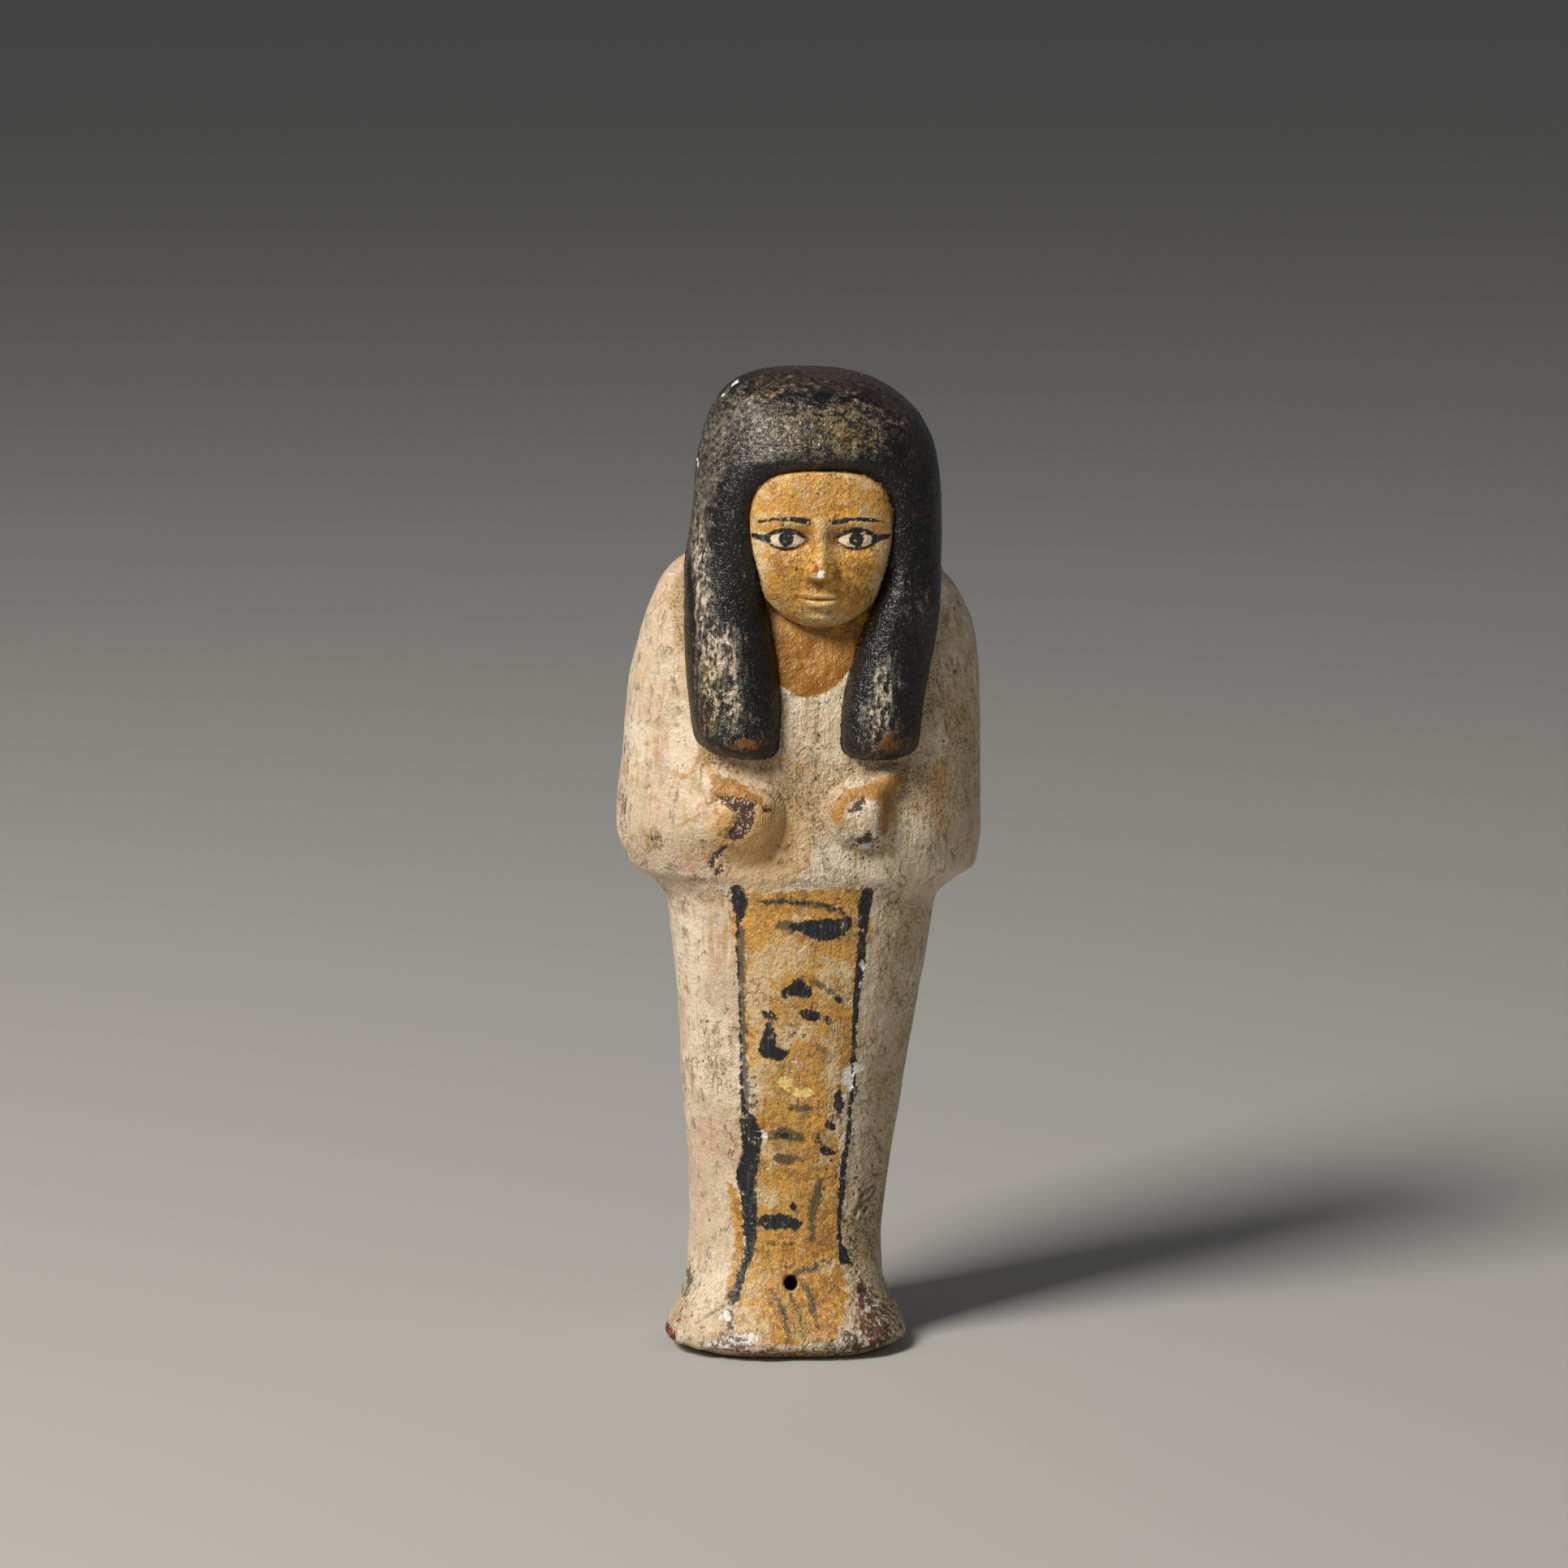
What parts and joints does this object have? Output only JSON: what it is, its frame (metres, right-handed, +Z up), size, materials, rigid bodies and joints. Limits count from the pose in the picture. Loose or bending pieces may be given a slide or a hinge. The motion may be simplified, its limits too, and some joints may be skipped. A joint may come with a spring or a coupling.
{
  "type": "funerary servant figure",
  "caption": "Painted clay servant figure in mummy form, with a black tripartite wig, crossed fists, a painted panel down the wrapped legs and a flared foot it stands on.",
  "frame": {"origin": "centre of the bounding box in plan, at the flat underside of the foot", "axes": "+Z up along the figure, -Y the way the face and toes point, +X to the right as seen from the front"},
  "size_m": [0.0668, 0.0463, 0.18],
  "materials": {
    "painted_clay": "worn matte paint over low-fired clay, waxy on the black wig"
  },
  "bodies": {
    "root": {"statuette": "painted_clay"}
  },
  "joints": []
}
